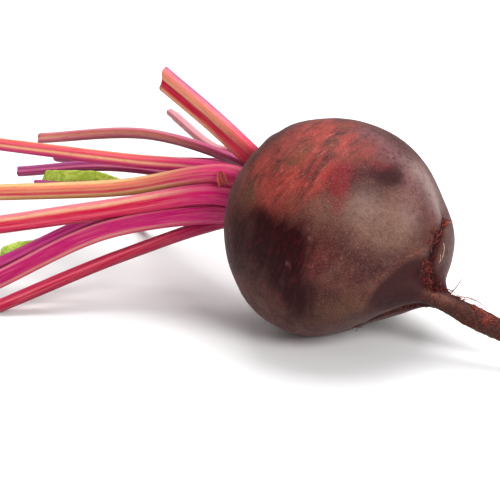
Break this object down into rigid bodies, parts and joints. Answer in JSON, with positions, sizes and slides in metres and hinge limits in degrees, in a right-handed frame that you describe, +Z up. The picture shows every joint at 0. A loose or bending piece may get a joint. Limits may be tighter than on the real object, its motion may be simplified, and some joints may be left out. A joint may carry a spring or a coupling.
{
  "type": "beetroot",
  "caption": "Whole red beetroot lying on its side: round root with a tapering taproot, fine side roots and a fan of trimmed leaf stalks at the crown.",
  "frame": {"origin": "middle of the small flat spot that the globe rests on", "axes": "+Z up, +X level from the crown towards the taproot's tip, +Y to the left of that"},
  "size_m": [0.2788, 0.1001, 0.0825],
  "materials": {
    "root_skin": "thin dull skin, dark brownish mauve with redder scuffed patches and a soft sheen",
    "leaf_stalk": "smooth and slightly waxy, magenta to salmon with pale cream ribs",
    "leaf_blade": "thin crinkled yellow-green leaf"
  },
  "bodies": {
    "root": {"root": "root_skin", "leaf_stalk_01": "leaf_stalk", "leaf_stalk_02": "leaf_stalk", "leaf_stalk_03": "leaf_stalk", "leaf_stalk_04": "leaf_stalk", "leaf_stalk_05": "leaf_stalk", "leaf_stalk_06": "leaf_stalk", "leaf_stalk_07": "leaf_stalk", "leaf_stalk_08": "leaf_stalk", "leaf_stalk_09": "leaf_stalk", "leaf_stalk_10": "leaf_stalk", "leaf_stalk_11": "leaf_stalk", "leaf_stalk_12": "leaf_stalk", "leaf_stalk_13": "leaf_stalk", "leaf_strip_1": "leaf_blade", "leaf_strip_2": "leaf_blade"}
  },
  "joints": []
}
